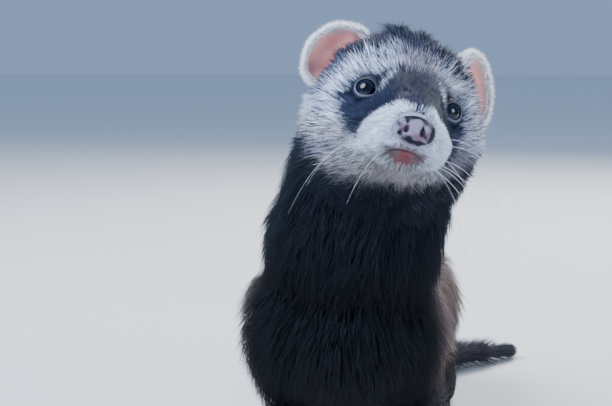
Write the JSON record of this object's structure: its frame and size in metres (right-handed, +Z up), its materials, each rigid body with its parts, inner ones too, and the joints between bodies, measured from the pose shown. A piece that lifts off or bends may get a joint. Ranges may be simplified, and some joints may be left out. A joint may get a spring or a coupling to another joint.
{
  "type": "ferret",
  "caption": "Life-size still ferret standing on all its feet, neck raised, head turned and tilted, round open ears, tail laid along the floor.",
  "frame": {"origin": "the middle of the animal's box, on the floor that its paws and tail rest on", "axes": "+Z up, the animal faces -Y, and its left side is +X"},
  "size_m": [0.0916, 0.2552, 0.156],
  "materials": {
    "sable_fur": "short dense fur, blue-black",
    "flank_fur": "dark guard hairs over a paler brown-grey undercoat",
    "mask_fur": "very short fur, white muzzle, dark mask and pale brows",
    "ear_skin": "thin pink skin with fine white hairs on the rim",
    "nose_leather": "damp pebbled skin, mottled pink and charcoal",
    "wet_eye": "polished, near black"
  },
  "bodies": {
    "root": {"torso": "flank_fur", "neck": "sable_fur", "head": "mask_fur", "nose": "nose_leather", "ear_right": "ear_skin", "ear_left": "ear_skin", "eye_right": "wet_eye", "eye_left": "wet_eye", "foreleg_right": "sable_fur", "foreleg_left": "sable_fur", "hindleg_right": "sable_fur", "hindleg_left": "sable_fur", "forepaw_right": "sable_fur", "forepaw_left": "sable_fur", "hindpaw_right": "sable_fur", "hindpaw_left": "sable_fur", "tail": "sable_fur"}
  },
  "joints": []
}
